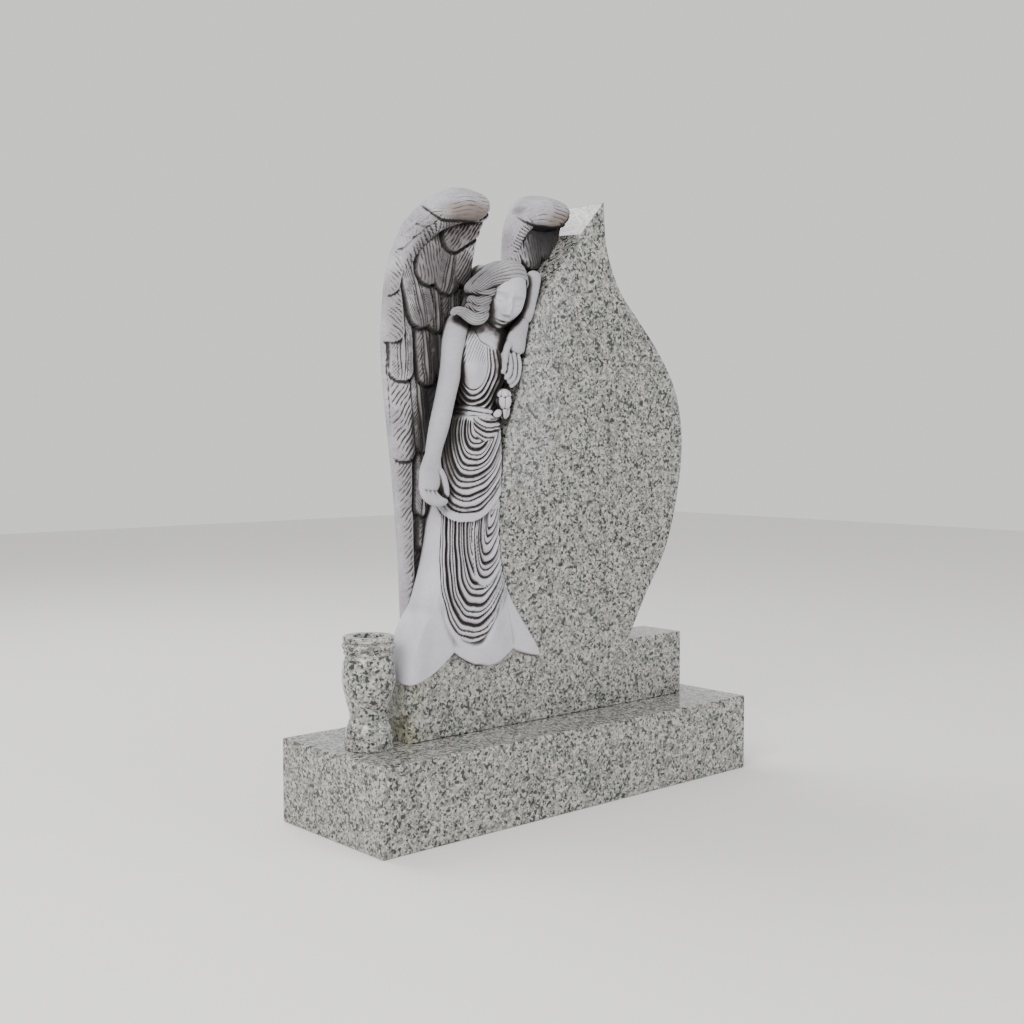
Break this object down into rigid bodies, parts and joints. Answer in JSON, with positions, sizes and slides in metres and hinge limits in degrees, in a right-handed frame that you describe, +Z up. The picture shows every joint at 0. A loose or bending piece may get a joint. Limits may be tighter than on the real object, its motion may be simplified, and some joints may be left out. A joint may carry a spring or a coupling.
{
  "type": "angel headstone",
  "caption": "Granite memorial: a flame-shaped upright with an angel in a draped gown carved at its side, on a plinth block, with a turned flower vase.",
  "frame": {"origin": "middle of the base block's underside", "axes": "+Z up, +X along the base to the flame-shaped slab's side, -Y to the front that the angel faces"},
  "size_m": [0.748, 0.244, 0.9293],
  "materials": {
    "polished_granite": "polished speckled grey granite",
    "honed_granite": "speckled grey granite, polished on the slab and matt where it is carved"
  },
  "bodies": {
    "root": {"base": "polished_granite", "headstone": "honed_granite", "vase": "polished_granite"}
  },
  "joints": []
}
